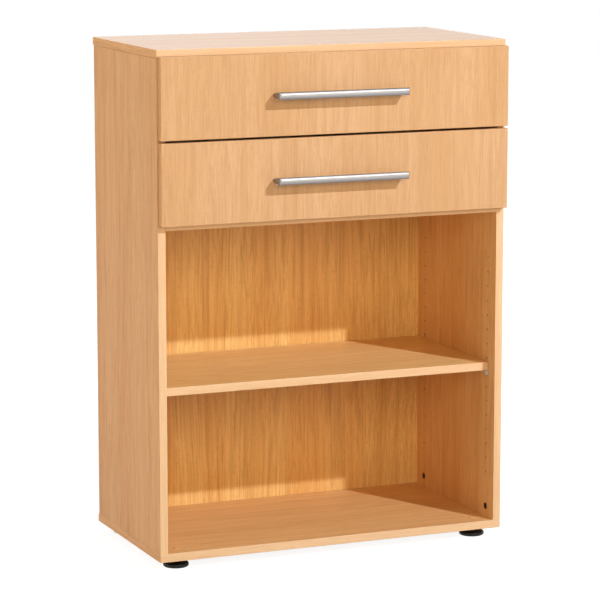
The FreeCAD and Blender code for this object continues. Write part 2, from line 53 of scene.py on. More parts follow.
# The Mix node has sockets for values and for colours under the same names, so they go by number.
MIX_SHARE = 0
MIX_VALUES = (2, 3)
MIXED_VALUE = 0
MIX_COLOURS = (6, 7)
MIXED_COLOUR = 2
grain_stretch = 0.035
figure_stretch = 0.16
figure_scale = 7.0
figure_swing = 0.045
print_roughness = (0.38, 0.45)
pore_strength = 0.08
pore_depth = 0.0002
chip_scale = 420.0
sawn_roughness = 0.85
decor_specular = 0.24
top_specular = 0.5
top_dulling = 0.6
top_tones = {"Pale": (0.739, 0.42, 0.197, 1), "Warm": (0.689, 0.361, 0.151, 1),
             "Line": (0.554, 0.269, 0.105, 1)}
# The shelves are printed paler and warmer than the outer boards, as painted light inside the compartments.
inner_painted_light_tones = {"Pale": (0.827, 0.529, 0.223, 1), "Warm": (0.774, 0.462, 0.172, 1),
               "Line": (0.592, 0.302, 0.101, 1)}
# The bottom panel is printed darker than the shelves, as painted shade in the lower compartment.
bottom_painted_shade_tones = {"Pale": (0.774, 0.448, 0.185, 1), "Warm": (0.722, 0.391, 0.143, 1),
                "Line": (0.557, 0.253, 0.084, 1)}
chip_pale = (0.622, 0.437, 0.252, 1)
chip_dark = (0.42, 0.26, 0.126, 1)


def add_node(tree, kind, inputs=None, **settings):
    """Adds a shader node and gives each named input a value or the socket that feeds it."""
    node = tree.nodes.new(kind)
    for name, value in settings.items():
        setattr(node, name, value)
    for name, value in (inputs or {}).items():
        if isinstance(value, bpy.types.NodeSocket):
            tree.links.new(value, node.inputs[name])
        else:
            node.inputs[name].default_value = value
    return node


def mix_colours(tree, share, first, second):
    mix = add_node(tree, "ShaderNodeMix", {MIX_SHARE: share, MIX_COLOURS[0]: first, MIX_COLOURS[1]: second},
                   data_type="RGBA")
    return mix.outputs[MIXED_COLOUR]


def mix_values(tree, share, first, second):
    mix = add_node(tree, "ShaderNodeMix", {MIX_SHARE: share, MIX_VALUES[0]: first, MIX_VALUES[1]: second})
    return mix.outputs[MIXED_VALUE]


def calculate(tree, operation, first, second=0.0):
    return add_node(tree, "ShaderNodeMath", {0: first, 1: second}, operation=operation).outputs[0]


def vary(tree, value, lowest, highest):
    """Turns a mask from 0 to 1 into a value between the lowest and the highest."""
    node = add_node(tree, "ShaderNodeMapRange", {"Value": value, "To Min": lowest, "To Max": highest})
    return node.outputs["Result"]


def noise_mask(tree, vector, scale, detail, low, high):
    """Noise cut to a mask that is 0 under the low level and 1 over the high one."""
    noise = add_node(tree, "ShaderNodeTexNoise", {"Vector": vector, "Scale": scale, "Detail": detail})
    span = add_node(tree, "ShaderNodeMapRange", {"Value": noise.outputs["Fac"], "From Min": low,
                                                 "From Max": high}, interpolation_type="SMOOTHSTEP")
    return span.outputs["Result"]


def shader_group(name, inputs, outputs):
    """An empty shader group with its named sockets, and its input and output nodes."""
    group = bpy.data.node_groups.new(name, "ShaderNodeTree")
    for label, kind in inputs.items():
        group.interface.new_socket(label, in_out="INPUT", socket_type=kind)
    for label, kind in outputs.items():
        group.interface.new_socket(label, in_out="OUTPUT", socket_type=kind)
    return group, group.nodes.new("NodeGroupInput").outputs, group.nodes.new("NodeGroupOutput").inputs


beech_print, given, result = shader_group(
    "beech_print",
    {"Grain": "NodeSocketVector", "Figure": "NodeSocketVector", "Pale": "NodeSocketColor",
     "Warm": "NodeSocketColor", "Line": "NodeSocketColor"},
    {"Color": "NodeSocketColor", "Roughness": "NodeSocketFloat", "Height": "NodeSocketFloat"})
wander = add_node(beech_print, "ShaderNodeTexNoise", {"Vector": given["Figure"], "Scale": figure_scale,
                                                      "Detail": 2.0})
centred = add_node(beech_print, "ShaderNodeVectorMath", {0: wander.outputs["Color"], 1: (0.5, 0.5, 0.5)},
                   operation="SUBTRACT")
swing = add_node(beech_print, "ShaderNodeVectorMath", {0: centred.outputs[0], "Scale": figure_swing},
                 operation="SCALE")
arched = add_node(beech_print, "ShaderNodeVectorMath", {0: given["Grain"], 1: swing.outputs[0]},
                  operation="ADD").outputs[0]
bands = noise_mask(beech_print, arched, 11.0, 2.0, 0.32, 0.70)
tone = mix_colours(beech_print, bands, given["Pale"], given["Warm"])
marks = {}
for mark, vector, scale, detail, low, high, ink in (
        ("streaks", arched, 62.0, 2.0, 0.42, 0.74, 0.34),
        ("rings", arched, 230.0, 2.0, 0.44, 0.68, 0.32),
        ("lines", arched, 560.0, 1.0, 0.46, 0.68, 0.34),
        ("pores", given["Figure"], 620.0, 1.0, 0.61, 0.70, 0.38)):
    marks[mark] = noise_mask(beech_print, vector, scale, detail, low, high)
    tone = mix_colours(beech_print, calculate(beech_print, "MULTIPLY", marks[mark], ink), tone, given["Line"])
beech_print.links.new(tone, result["Color"])
beech_print.links.new(vary(beech_print, marks["rings"], *print_roughness), result["Roughness"])
beech_print.links.new(marks["pores"], result["Height"])

chip_core, given, result = shader_group(
    "chip_core", {"Vector": "NodeSocketVector", "Pale": "NodeSocketColor", "Dark": "NodeSocketColor"},
    {"Color": "NodeSocketColor"})
chips = add_node(chip_core, "ShaderNodeTexVoronoi", {"Vector": given["Vector"], "Scale": chip_scale})
chip_tone = add_node(chip_core, "ShaderNodeSeparateColor", {"Color": chips.outputs["Color"]})
chip_core.links.new(mix_colours(chip_core, chip_tone.outputs["Red"], given["Dark"], given["Pale"]),
                    result["Color"])


def new_material(name):
    """A material with one Principled shader, its tree, that shader and the object coordinates."""
    material = bpy.data.materials.new(name)
    material.use_nodes = True
    tree = material.node_tree
    shader = next(node for node in tree.nodes if node.type == "BSDF_PRINCIPLED")
    place = tree.nodes.new("ShaderNodeTexCoord")
    return material, tree, shader, place


def place_group(tree, group, inputs):
    return add_node(tree, "ShaderNodeGroup", inputs, node_tree=group).outputs


def drawn_out(tree, place, axes, stretch, shift):
    """Object coordinates drawn out along the given axes, and shifted to another part of the pattern."""
    scale = [stretch if axis in axes else 1 for axis in (X_AXIS, Y_AXIS, Z_AXIS)]
    mapping = add_node(tree, "ShaderNodeMapping", {"Vector": place.outputs["Object"], "Scale": scale,
                                                   "Location": shift})
    return mapping.outputs["Vector"]


def beech_figure(tree, place, axes, shift, tones):
    return place_group(tree, beech_print, {"Grain": drawn_out(tree, place, axes, grain_stretch, shift),
                                           "Figure": drawn_out(tree, place, axes, figure_stretch, shift),
                                           **tones})


def bare_chips(tree, place):
    return place_group(tree, chip_core, {"Vector": place.outputs["Object"], "Pale": chip_pale,
                                         "Dark": chip_dark})


def bump(tree, height, strength, depth):
    node = add_node(tree, "ShaderNodeBump", {"Height": height, "Strength": strength, "Distance": depth})
    return node.outputs["Normal"]


def faces_along(tree, place, axis, either_way=True):
    """1 where the surface faces along the axis, or against it if either way will do, and 0 elsewhere."""
    facing = add_node(tree, "ShaderNodeVectorMath", {0: place.outputs["Normal"], 1: axis},
                      operation="DOT_PRODUCT").outputs["Value"]
    if either_way:
        facing = calculate(tree, "ABSOLUTE", facing)
    return calculate(tree, "GREATER_THAN", facing, 0.5)


def two_tones(tree, share, first, second):
    return {label: mix_colours(tree, share, first[label], second[label]) for label in first}


def beech_board(name, grain, thickness, shift, tones, reverse_painted_light_tones=None, specular=decor_specular,
                dulling=1.0):
    """Faced chipboard: the print on both faces, and bare chips on every other side. Reverse tones, if given,
    colour the face turned against the thickness axis as painted light.
    """
    material, tree, shader, place = new_material(name)
    if reverse_painted_light_tones:
        tones = two_tones(tree, faces_along(tree, place, thickness, either_way=False), reverse_painted_light_tones, tones)
    decor = beech_figure(tree, place, [grain], shift, tones)
    faced = faces_along(tree, place, thickness)
    colour = mix_colours(tree, faced, bare_chips(tree, place)["Color"], decor["Color"])
    dulled = calculate(tree, "MULTIPLY", decor["Roughness"], dulling)
    tree.links.new(colour, shader.inputs["Base Color"])
    tree.links.new(mix_values(tree, faced, sawn_roughness, dulled), shader.inputs["Roughness"])
    tree.links.new(bump(tree, decor["Height"], pore_strength, pore_depth), shader.inputs["Normal"])
    shader.inputs["Specular IOR Level"].default_value = specular
    return material


def dress(node, material):
    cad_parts[node].data.materials[0] = material


dress("bottom_panel", beech_board("beech_bottom", X_AXIS, Z_AXIS, (0.0, 0.0, 0.20), bottom_painted_shade_tones))
dress("fixed_shelf", beech_board("beech_fixed_shelf", X_AXIS, Z_AXIS, (0.0, 0.0, 0.55), inner_painted_light_tones))
dress("top_panel", beech_board("beech_top", X_AXIS, Z_AXIS, (0.0, 0.0, 0.90), top_tones,
                               specular=top_specular, dulling=top_dulling))

# Side panels
# The same faced board with its grain upright, standing between the bottom and the top.
# Two rows of holes at a pitch of 32 mm are drilled in each inner face for the shelf supports.
side_tones = {"Pale": (0.739, 0.407, 0.151, 1), "Warm": (0.672, 0.332, 0.105, 1),
              "Line": (0.47, 0.189, 0.05, 1)}
# The right panel's inner face, seen inside the compartments, is printed paler and warmer than its outer face,
# as painted light.
right_inner_painted_light_tones = {"Pale": (0.893, 0.572, 0.272, 1), "Warm": (0.836, 0.49, 0.204, 1),
                     "Line": (0.601, 0.299, 0.109, 1)}
dress("left_side_panel", beech_board("beech_left_side", Z_AXIS, X_AXIS, (0.31, 0.0, 0.0), side_tones))
dress("right_side_panel", beech_board("beech_right_side", Z_AXIS, X_AXIS, (0.0, 0.47, 0.0), side_tones,
                                      right_inner_painted_light_tones))

# Edgings of the carcass
# Plastic strips 2 mm thick, glued to the boards' front edges and rounded on their arrises.
# They carry a paler print than the boards, with the grain along the strip, and are sawn off at the ends.
edging_tones = {"Pale": (0.773, 0.512, 0.294, 1), "Warm": (0.739, 0.462, 0.248, 1),
                "Line": (0.655, 0.378, 0.189, 1)}


def beech_edging(name, axes, tones, painted_shade_end_tones):
    """A printed strip, in darker tones on the faces that look sideways, as painted shade."""
    material, tree, shader, place = new_material(name)
    ends = faces_along(tree, place, X_AXIS)
    decor = beech_figure(tree, place, axes, (0.0, 0.0, 0.0), two_tones(tree, ends, tones, painted_shade_end_tones))
    tree.links.new(decor["Color"], shader.inputs["Base Color"])
    tree.links.new(decor["Roughness"], shader.inputs["Roughness"])
    shader.inputs["Specular IOR Level"].default_value = decor_specular
    return material


# The strips' sideways faces take the side panels' darker tones, as painted shade.
upright_edging = beech_edging("beech_upright_edging", [Z_AXIS], edging_tones, side_tones)
flat_edging = beech_edging("beech_flat_edging", [X_AXIS, Y_AXIS], edging_tones, side_tones)
for side in ("left", "right"):
    dress(side + "_side_edging", upright_edging)
for board in ("bottom_panel", "fixed_shelf", "top_panel"):
    dress(board + "_edging", flat_edging)

# Dowels of the carcass and of the drawers
# Turned beech pegs with broken ends, glued half in one board's edge and half in the other's face.
dowel_pale = (0.588, 0.403, 0.235, 1)
dowel_dark = (0.47, 0.294, 0.151, 1)
dowel_stretch = 0.1
dowel_fibre_scale = 1500.0
dowel_fibre_strength = 0.3
dowel_fibre_depth = 0.0002
dowel_roughness = 0.7
levels = ("lower", "upper")
dowel_wood, tree, shader, place = new_material("dowel_wood")
grain_place = drawn_out(tree, place, [Y_AXIS, Z_AXIS], dowel_stretch, (0.0, 0.0, 0.0))
fibres = noise_mask(tree, grain_place, dowel_fibre_scale, 2.0, 0.35, 0.65)
tree.links.new(mix_colours(tree, fibres, dowel_pale, dowel_dark), shader.inputs["Base Color"])
tree.links.new(bump(tree, fibres, dowel_fibre_strength, dowel_fibre_depth), shader.inputs["Normal"])
shader.inputs["Roughness"].default_value = dowel_roughness
dress("carcass_dowels", dowel_wood)
for level in levels:
    dress(level + "_drawer_dowels", dowel_wood)

# Cam locks and their bolts
# Die-cast zinc drums 15 mm across with a crossed slot, sunk flush in the boards, coloured near black as
# painted shade.
# A bolt in the other board runs into each drum, and a half turn pulls the joint tight.
painted_shade_cast_tones = ((0.05, 0.047, 0.044, 1), (0.016, 0.016, 0.016, 1))
scratch_strength = 0.12
scratch_depth = 0.00005


def metal(name, tones, smooth, rough, scratch_scale, axes=(), stretch=1.0):
    """Metal with fine scratches along the given axes, which change its tone and its gloss."""
    material, tree, shader, place = new_material(name)
    surface = drawn_out(tree, place, axes, stretch, (0.0, 0.0, 0.0))
    clear = noise_mask(tree, surface, scratch_scale, 3.0, 0.3, 0.7)
    tree.links.new(mix_colours(tree, clear, tones[1], tones[0]), shader.inputs["Base Color"])
    tree.links.new(vary(tree, clear, rough, smooth), shader.inputs["Roughness"])
    tree.links.new(bump(tree, clear, scratch_strength, scratch_depth), shader.inputs["Normal"])
    shader.inputs["Metallic"].default_value = 1.0
    return material


zinc_painted_dark = metal("zinc_painted_dark", painted_shade_cast_tones, smooth=0.42, rough=0.55, scratch_scale=900.0)
dress("carcass_cam_fittings", zinc_painted_dark)
for level in levels:
    dress(level + "_drawer_fittings", zinc_painted_dark)

# Back panel
# A thinner faced board, 8 mm, with upright grain, laid on the back edges of the sides and the fixed shelf.
# Its face that looks into the unit is printed paler and warmer than the one behind, as painted light.
back_inner_painted_light_tones = {"Pale": (0.847, 0.542, 0.202, 1), "Warm": (0.767, 0.413, 0.129, 1),
                    "Line": (0.473, 0.207, 0.052, 1)}
dress("back_panel", beech_board("beech_back", Z_AXIS, Y_AXIS, (0.0, 0.83, 0.0), side_tones, back_inner_painted_light_tones))

# Screws of the back panel
# Zinc-plated chipboard screws with a cross recess, driven until their countersunk heads lie flush.
# They go through the panel into the back edges of the sides and of the fixed shelf.
plated_tones = ((0.58, 0.57, 0.54, 1), (0.46, 0.45, 0.42, 1))
round_steps = 32
weld_distance = 0.000002
cross_arm = 0.62
cross_width = 0.42
cross_depth = 0.9
cross_taper = 0.6
back_screw_head = 0.0036
back_screw_shank = 0.0017
back_screw_cone = 0.0024
back_screw_length = 0.030
back_screw_side_shares = (0.05, 0.28, 0.5, 0.78, 0.95)
back_screw_shelf_shares = (-0.5, 0.0, 0.5)
plated_steel = metal("plated_steel", plated_tones, smooth=0.26, rough=0.38, scratch_scale=700.0)


def finished(name, shape, material, sharp_angle=35.0):
    """Turns a finished shape into an object at the origin, smooth but for its sharp edges."""
    bmesh.ops.remove_doubles(shape, verts=shape.verts[:], dist=weld_distance)
    bmesh.ops.recalc_face_normals(shape, faces=shape.faces[:])
    for face in shape.faces:
        face.smooth = True
    mesh = bpy.data.meshes.new(name)
    shape.to_mesh(mesh)
    shape.free()
    mesh.set_sharp_from_angle(angle=math.radians(sharp_angle))
    mesh.materials.append(material)
    piece = bpy.data.objects.new(name, mesh)
    scene.collection.objects.link(piece)
    return piece


def turn_outline(shape, outline, steps=round_steps):
    """Spins an outline of (height, radius) points about the Z axis."""
    points = [shape.verts.new((radius, 0, height)) for height, radius in outline]
    edges = [shape.edges.new(pair) for pair in zip(points, points[1:])]
    bmesh.ops.spin(shape, geom=points + edges, axis=Z_AXIS, cent=(0, 0, 0), angle=2 * math.pi, steps=steps,
                   use_merge=True)


def cross_screw(rim_height, rim_radius, outline):
    """A screw on the Z axis: a cross recess inside the rim, and the outline turned down to its point."""
    shape = bmesh.new()
    reach = cross_arm * rim_radius
    bmesh.ops.create_grid(shape, x_segments=3, y_segments=3, size=reach,
                          matrix=Matrix.Translation((0, 0, rim_height)))
    corners = [face for face in shape.faces
               if min(abs(face.calc_center_median().x), abs(face.calc_center_median().y)) > reach / 3]
    bmesh.ops.delete(shape, geom=corners, context="FACES")
    for vert in shape.verts:
        for axis in (0, 1):
            if abs(vert.co[axis]) < reach / 2:
                vert.co[axis] *= 3 * cross_width / 2
    cross = shape.faces[:]
    cross_outline = [edge for edge in shape.edges if edge.is_boundary]
    rim = bmesh.ops.create_circle(shape, segments=round_steps, radius=rim_radius,
                                  matrix=Matrix.Translation((0, 0, rim_height)))["verts"]
    rim_edges = list({edge for vert in rim for edge in vert.link_edges})
    bmesh.ops.bridge_loops(shape, edges=cross_outline + rim_edges)
    sunk = bmesh.ops.extrude_face_region(shape, geom=cross)["geom"]
    bmesh.ops.delete(shape, geom=cross, context="FACES_ONLY")
    floor_verts = [item for item in sunk if isinstance(item, bmesh.types.BMVert)]
    bmesh.ops.scale(shape, vec=(cross_taper, cross_taper, 1), verts=floor_verts)
    bmesh.ops.translate(shape, vec=(0, 0, -cross_depth * reach), verts=floor_verts)
    turn_outline(shape, [(rim_height, rim_radius)] + outline)
    bmesh.ops.remove_doubles(shape, verts=shape.verts[:], dist=weld_distance)
    mesh = bpy.data.meshes.new("screw")
    shape.to_mesh(mesh)
    shape.free()
    return mesh


def set_screws(shape, screw, seats, out):
    """Copies a screw to each seat, its head turned to face out."""
    turn = Z_AXIS.rotation_difference(out).to_matrix().to_4x4()
    for seat in seats:
        before = len(shape.verts)
        shape.from_mesh(screw)
        shape.verts.ensure_lookup_table()
        bmesh.ops.transform(shape, matrix=Matrix.Translation(seat) @ turn, verts=shape.verts[before:])


back_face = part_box("back_panel")[1].y
side_low, side_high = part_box("right_side_panel")
fixed_low, fixed_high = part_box("fixed_shelf")
side_middle = (side_low.x + side_high.x) / 2
fixed_middle = (fixed_low.z + fixed_high.z) / 2
side_height = side_high.z - side_low.z
back_seats = [Vector((sign * side_middle, back_face, side_low.z + share * side_height))
              for sign in (-1, 1) for share in back_screw_side_shares]
back_seats += [Vector((share * side_low.x, back_face, fixed_middle)) for share in back_screw_shelf_shares]
countersunk = cross_screw(0, back_screw_head, [
    (-back_screw_cone, back_screw_shank), (back_screw_shank - back_screw_length, back_screw_shank),
    (-back_screw_length, 0)])
shape = bmesh.new()
set_screws(shape, countersunk, back_seats, Y_AXIS)
back_screws = finished("back_screws", shape, plated_steel)
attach(back_screws, "carcass")
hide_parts("back_panel_screws")

# Adjustable shelf
# A loose faced board with one edged front, set back from the carcass and laid on its four supports.
dress("adjustable_shelf", beech_board("beech_shelf", X_AXIS, Z_AXIS, (0.0, 0.0, 1.30), inner_painted_light_tones))
dress("adjustable_shelf_edging", flat_edging)

# Shelf supports
# Small die-cast angles, nickel plated, each with a stiffening rib and a 5 mm peg pushed in a hole.
nickel_tones = ((0.60, 0.57, 0.52, 1), (0.46, 0.43, 0.38, 1))
dress("shelf_supports", metal("nickel_plate", nickel_tones, smooth=0.22, rough=0.32, scratch_scale=700.0))

# Sockets and caps of the levelling feet
# Black moulded sockets with a thread for the foot's spindle are pressed in the bottom panel from below.
# Caps in the boards' colour close the holes through which a key reaches the spindles from above.
black_plastic_tones = ((0.006, 0.006, 0.0065, 1), (0.012, 0.012, 0.0125, 1))
cap_tones = ((0.706, 0.386, 0.143, 1), (0.655, 0.336, 0.118, 1))
skin_depth = 0.0001
skin_grain_scale = 1600.0
skin_cloud_scale = 90.0

moulded_skin, given, result = shader_group(
    "moulded_skin", {"Vector": "NodeSocketVector", "Colour": "NodeSocketColor", "Rubbed": "NodeSocketColor",
                     "Smooth": "NodeSocketFloat", "Rough": "NodeSocketFloat"},
    {"Color": "NodeSocketColor", "Roughness": "NodeSocketFloat", "Height": "NodeSocketFloat"})
skin_grain = noise_mask(moulded_skin, given["Vector"], skin_grain_scale, 2.0, 0.35, 0.65)
cloud = noise_mask(moulded_skin, given["Vector"], skin_cloud_scale, 3.0, 0.3, 0.7)
moulded_skin.links.new(mix_colours(moulded_skin, cloud, given["Colour"], given["Rubbed"]), result["Color"])
moulded_skin.links.new(vary(moulded_skin, cloud, given["Smooth"], given["Rough"]), result["Roughness"])
moulded_skin.links.new(skin_grain, result["Height"])


def skin_over(tree, place, tones, smooth, rough):
    return place_group(tree, moulded_skin, {"Vector": place.outputs["Object"], "Colour": tones[0],
                                            "Rubbed": tones[1], "Smooth": smooth, "Rough": rough})


def plastic(name, tones, smooth, rough, skin_strength, specular=0.5):
    """Moulded plastic with a faint grained skin, rubbed in places."""
    material, tree, shader, place = new_material(name)
    skin = skin_over(tree, place, tones, smooth, rough)
    tree.links.new(skin["Color"], shader.inputs["Base Color"])
    tree.links.new(skin["Roughness"], shader.inputs["Roughness"])
    tree.links.new(bump(tree, skin["Height"], skin_strength, skin_depth), shader.inputs["Normal"])
    shader.inputs["Specular IOR Level"].default_value = specular
    return material


black_plastic = plastic("black_plastic", black_plastic_tones, smooth=0.42, rough=0.54, skin_strength=0.2,
                        specular=0.22)
dress("foot_sockets", black_plastic)
dress("foot_hole_caps", plastic("cap_plastic", cap_tones, smooth=0.50, rough=0.60, skin_strength=0.12,
                                specular=0.2))

# Levelling feet
# A black moulded plate with a sloping shoulder and a hub, turned freely on the spindle's collar.
# The spindle is plated steel with a 1.5 mm thread and a hexagon socket in its upper end.
foot_round = 0.0035
foot_rim = 0.009
foot_arc_steps = 6
foot_shoulder = 0.0125
foot_shoulder_radius = 0.020
foot_hub_radius = 0.011
foot_bore = 0.0051
foot_pocket_floor = 0.0028
foot_pocket_top = 0.007
foot_pocket_radius = 0.0081
collar_radius = 0.008
collar_height = 0.004
spindle_radius = 0.005
thread_pitch = 0.0015
thread_depth = 0.0009
thread_steps = 20
thread_section = ((-0.5, 0.3), (1.0, 0.75), (-0.5, 1.2))
hex_sides = 6
hex_radius = 0.0029
hex_depth = 0.006
foot_arc = [math.pi / 2 * step / foot_arc_steps for step in range(foot_arc_steps + 1)]
for row in ("front", "rear"):
    for side in ("left", "right"):
        foot = row + "_" + side + "_foot"
        low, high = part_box(foot + "_plate")
        middle = (low + high) / 2
        place = Matrix.Translation((middle.x, middle.y, 0))
        radius = high.x - middle.x
        lower_round = [(foot_round * (1 - math.cos(angle)), radius - foot_round * (1 - math.sin(angle)))
                       for angle in foot_arc]
        upper_round = [(foot_rim - height, across) for height, across in reversed(lower_round)]
        shape = bmesh.new()
        turn_outline(shape, [(0, 0)] + lower_round + upper_round + [
            (foot_shoulder, foot_shoulder_radius), (high.z, foot_hub_radius), (high.z, foot_bore),
            (foot_pocket_top, foot_bore), (foot_pocket_top, foot_pocket_radius),
            (foot_pocket_floor, foot_pocket_radius), (foot_pocket_floor, 0)], 2 * round_steps)
        bmesh.ops.transform(shape, matrix=place, verts=shape.verts[:])
        plate = finished(foot + "_disc", shape, black_plastic)
        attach(plate, foot)
        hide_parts(foot + "_plate")

        low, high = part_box(foot + "_spindle")
        collar_top = low.z + collar_height
        core = (high.x - low.x) / 2 - (collar_radius - spindle_radius) - thread_depth
        shape = bmesh.new()
        bmesh.ops.create_circle(shape, segments=hex_sides, radius=hex_radius, cap_ends=True,
                                matrix=Matrix.Translation((0, 0, high.z)))
        key_face = shape.faces[:]
        hex_edges = shape.edges[:]
        rim = bmesh.ops.create_circle(shape, segments=round_steps, radius=core,
                                      matrix=Matrix.Translation((0, 0, high.z)))["verts"]
        rim_edges = list({edge for vert in rim for edge in vert.link_edges})
        bmesh.ops.bridge_loops(shape, edges=hex_edges + rim_edges)
        sunk = bmesh.ops.extrude_face_region(shape, geom=key_face)["geom"]
        bmesh.ops.delete(shape, geom=key_face, context="FACES_ONLY")
        bmesh.ops.translate(shape, vec=(0, 0, -hex_depth),
                            verts=[item for item in sunk if isinstance(item, bmesh.types.BMVert)])
        turn_outline(shape, [(high.z, core), (collar_top, core), (collar_top, collar_radius),
                             (low.z, collar_radius), (low.z, 0)])
        turns = int((high.z - collar_top) / thread_pitch) - 1
        ridge = [shape.verts.new((core + out * thread_depth, 0, collar_top + rise * thread_pitch))
                 for out, rise in thread_section]
        section = shape.faces.new(ridge)
        bmesh.ops.spin(shape, geom=[section], axis=Z_AXIS, cent=(0, 0, 0),
                       dvec=(0, 0, thread_pitch / thread_steps), angle=2 * math.pi * turns,
                       steps=thread_steps * turns)
        bmesh.ops.transform(shape, matrix=place, verts=shape.verts[:])
        spindle = finished(foot + "_threaded_spindle", shape, plated_steel)
        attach(spindle, row + "_" + side + "_spindle")
        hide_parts(foot + "_spindle")

# Runners and rails of the drawers
# Cold-rolled steel 1.2 mm thick, folded to C and Z sections and powder coated in cream.
# The cabinet runners are screwed to the sides, and the rails lie under the drawer sides.
coat_tones = ((0.638, 0.613, 0.554, 1), (0.596, 0.571, 0.512, 1))
coated_steel = plastic("cream_coat", coat_tones, smooth=0.26, rough=0.36, skin_strength=0.35)
for level in levels:
    for side in ("left", "right"):
        dress(level + "_" + side + "_cabinet_runner", coated_steel)
        dress(level + "_drawer_" + side + "_rail", coated_steel)

# Runner screws
# Zinc-plated screws with low round heads hold each cabinet runner to its side panel in three places.
runner_sheet = 0.0012
runner_screw_shares = (0.1, 0.45, 0.9)
runner_screw_height = 0.0045
runner_screw_head_radius = 0.0030
runner_screw_head = 0.0014
runner_screw_shank = 0.0024
runner_screw_length = 0.011
crown_break = 0.3


def pan_screw(head_radius, head, crown, shank, length):
    """A screw whose rounded head stands on the seat, at height 0."""
    return cross_screw(head, head_radius - crown, [
        (head - crown_break * crown, head_radius - crown_break * crown), (head - crown, head_radius),
        (0, head_radius), (0, shank), (shank - length, shank), (-length, 0)])


runner_screw = pan_screw(runner_screw_head_radius, runner_screw_head, runner_screw_head / 2,
                         runner_screw_shank, runner_screw_length)
shape = bmesh.new()
for level in levels:
    for side, sign in (("left", -1), ("right", 1)):
        low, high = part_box(level + "_" + side + "_cabinet_runner")
        wall = max(abs(low.x), abs(high.x)) - runner_sheet
        height = low.z + runner_sheet + runner_screw_height
        length = high.y - low.y
        seats = [Vector((sign * wall, low.y + share * length, height)) for share in runner_screw_shares]
        set_screws(shape, runner_screw, seats, X_AXIS * -sign)
runner_screws = finished("runner_fixing_screws", shape, plated_steel)
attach(runner_screws, "carcass")
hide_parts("runner_screws")

# Rollers
# Pale nylon wheels on riveted axles: one at the front of each cabinet runner, one at the rear of each rail.
# Each wheel is moulded with a hub, a thin web sunk on both faces, and a broken rim.
roller_tones = ((0.655, 0.647, 0.622, 1), (0.588, 0.58, 0.554, 1))
roller_bore = 0.00258
roller_hub = 0.0046
roller_web = 0.0008
roller_rim = 0.0020
roller_chamfer = 0.0008
roller_plastic = plastic("roller_plastic", roller_tones, smooth=0.30, rough=0.40, skin_strength=0.12)
for level in levels:
    for node, body in ((level + "_cabinet_rollers", level + "_front_rollers"),
                       (level + "_drawer_rollers", level + "_rear_rollers")):
        low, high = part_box(node)
        radius = (high.z - low.z) / 2
        inner = min(abs(vert.co.x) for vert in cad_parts[node].data.vertices)
        width = high.x - inner
        rim_inner = radius - roller_rim
        half_outline = [(0, roller_bore), (0, roller_hub), (roller_web, roller_hub + roller_web / 2),
                        (roller_web, rim_inner - roller_web / 2), (0, rim_inner),
                        (0, radius - roller_chamfer), (roller_chamfer, radius)]
        outline = half_outline + [(width - height, across) for height, across in reversed(half_outline)]
        shape = bmesh.new()
        for sign in (-1, 1):
            before = len(shape.verts)
            turn_outline(shape, outline + outline[:1], 2 * round_steps)
            shape.verts.ensure_lookup_table()
            turn = Z_AXIS.rotation_difference(X_AXIS * sign).to_matrix().to_4x4()
            seat = Matrix.Translation((sign * inner, (low.y + high.y) / 2, (low.z + high.z) / 2))
            bmesh.ops.transform(shape, matrix=seat @ turn, verts=shape.verts[before:])
        wheels = finished(node + "_wheels", shape, roller_plastic)
        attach(wheels, body)
        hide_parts(node)

# Drawer boxes
# Sides and backs are 12 mm chipboard, wrapped in a pale grey film over faces and top edges.
# The bottoms are hardboard, lacquered pale on top and brown below, slid into grooves.
film_tones = ((0.638, 0.605, 0.542, 1), (0.613, 0.58, 0.517, 1))
film_strength = 0.12
lacquer_tones = ((0.672, 0.638, 0.575, 1), (0.647, 0.613, 0.55, 1))
fibre_pale = (0.277, 0.168, 0.092, 1)
fibre_dark = (0.168, 0.092, 0.046, 1)
fibre_scale = 700.0
fibre_strength = 0.15


def film_board(name, sawn):
    """Chipboard in a wrapped film, with bare chips at the sawn ends."""
    material, tree, shader, place = new_material(name)
    skin = skin_over(tree, place, film_tones, smooth=0.38, rough=0.50)
    chips = bare_chips(tree, place)
    cut = faces_along(tree, place, sawn)
    tree.links.new(mix_colours(tree, cut, skin["Color"], chips["Color"]), shader.inputs["Base Color"])
    tree.links.new(skin["Roughness"], shader.inputs["Roughness"])
    tree.links.new(bump(tree, skin["Height"], film_strength, skin_depth), shader.inputs["Normal"])
    return material


film_side = film_board("grey_film_side", Y_AXIS)
film_back = film_board("grey_film_back", X_AXIS)
hardboard, tree, shader, place = new_material("lacquered_hardboard")
lacquer = skin_over(tree, place, lacquer_tones, smooth=0.34, rough=0.46)
fibre = noise_mask(tree, place.outputs["Object"], fibre_scale, 3.0, 0.35, 0.65)
lacquered = faces_along(tree, place, Z_AXIS, either_way=False)
bare = mix_colours(tree, fibre, fibre_pale, fibre_dark)
tree.links.new(mix_colours(tree, lacquered, bare, lacquer["Color"]), shader.inputs["Base Color"])
tree.links.new(lacquer["Roughness"], shader.inputs["Roughness"])
tree.links.new(bump(tree, fibre, fibre_strength, skin_depth), shader.inputs["Normal"])
for level in levels:
    dress(level + "_drawer_left_side", film_side)
    dress(level + "_drawer_right_side", film_side)
    dress(level + "_drawer_back", film_back)
    dress(level + "_drawer_bottom", hardboard)

# Drawer fronts
# The 18 mm faced board again, with its grain upright, and a 2 mm edging in the same print all round, darker
# on its sideways faces as painted shade.
# Each front is held to its drawer sides by cam locks, and overlaps the carcass.
front_tones = {"Pale": (0.638, 0.375, 0.192, 1), "Warm": (0.591, 0.327, 0.148, 1),
               "Line": (0.471, 0.239, 0.1, 1)}
front_edging_tones = {"Pale": (0.638, 0.367, 0.176, 1), "Warm": (0.598, 0.319, 0.144, 1),
                      "Line": (0.495, 0.247, 0.104, 1)}
